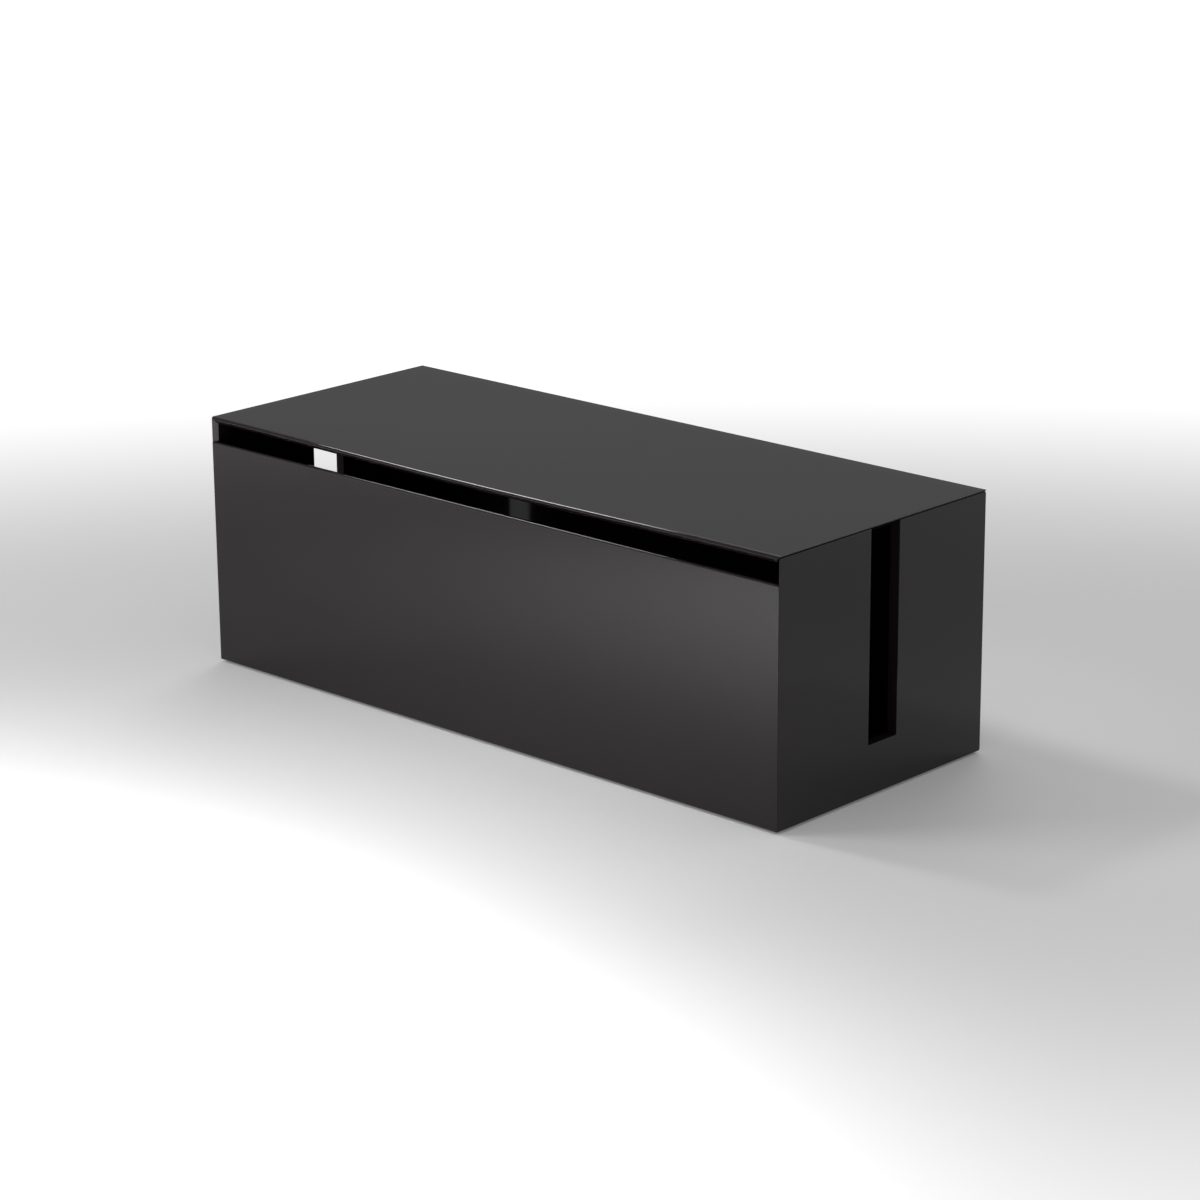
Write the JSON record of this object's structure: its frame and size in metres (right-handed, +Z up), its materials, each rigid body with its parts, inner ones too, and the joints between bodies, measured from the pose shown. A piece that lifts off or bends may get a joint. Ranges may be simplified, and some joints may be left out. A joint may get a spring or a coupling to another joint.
{
  "type": "cable management box",
  "caption": "Long low box with a lift-off lid, a cable opening under the lid along the front and an upright cable slot in each side.",
  "frame": {"origin": "centre of the footprint, on the surface that the feet stand on", "axes": "+X runs along the box to the viewer's right, -Y is the front with the opening under the lid, +Z is up"},
  "size_m": [0.405, 0.16, 0.14],
  "materials": {
    "shell": "high gloss, very dark brown, faint orange peel",
    "foot_silicone": "matt black silicone"
  },
  "bodies": {
    "box": {"base_tray": "shell", "front_panel": "shell", "back_panel": "shell", "left_side_panel": "shell", "right_side_panel": "shell", "foot_front_left": "foot_silicone", "foot_front_right": "foot_silicone", "foot_back_left": "foot_silicone", "foot_back_right": "foot_silicone"},
    "lid": {"lid": "shell"}
  },
  "joints": [
    {"name": "lid_lift", "type": "slide", "parent": "box", "child": "lid", "axis": [0, 0, 1], "range_m": [0, 0.12]}
  ]
}
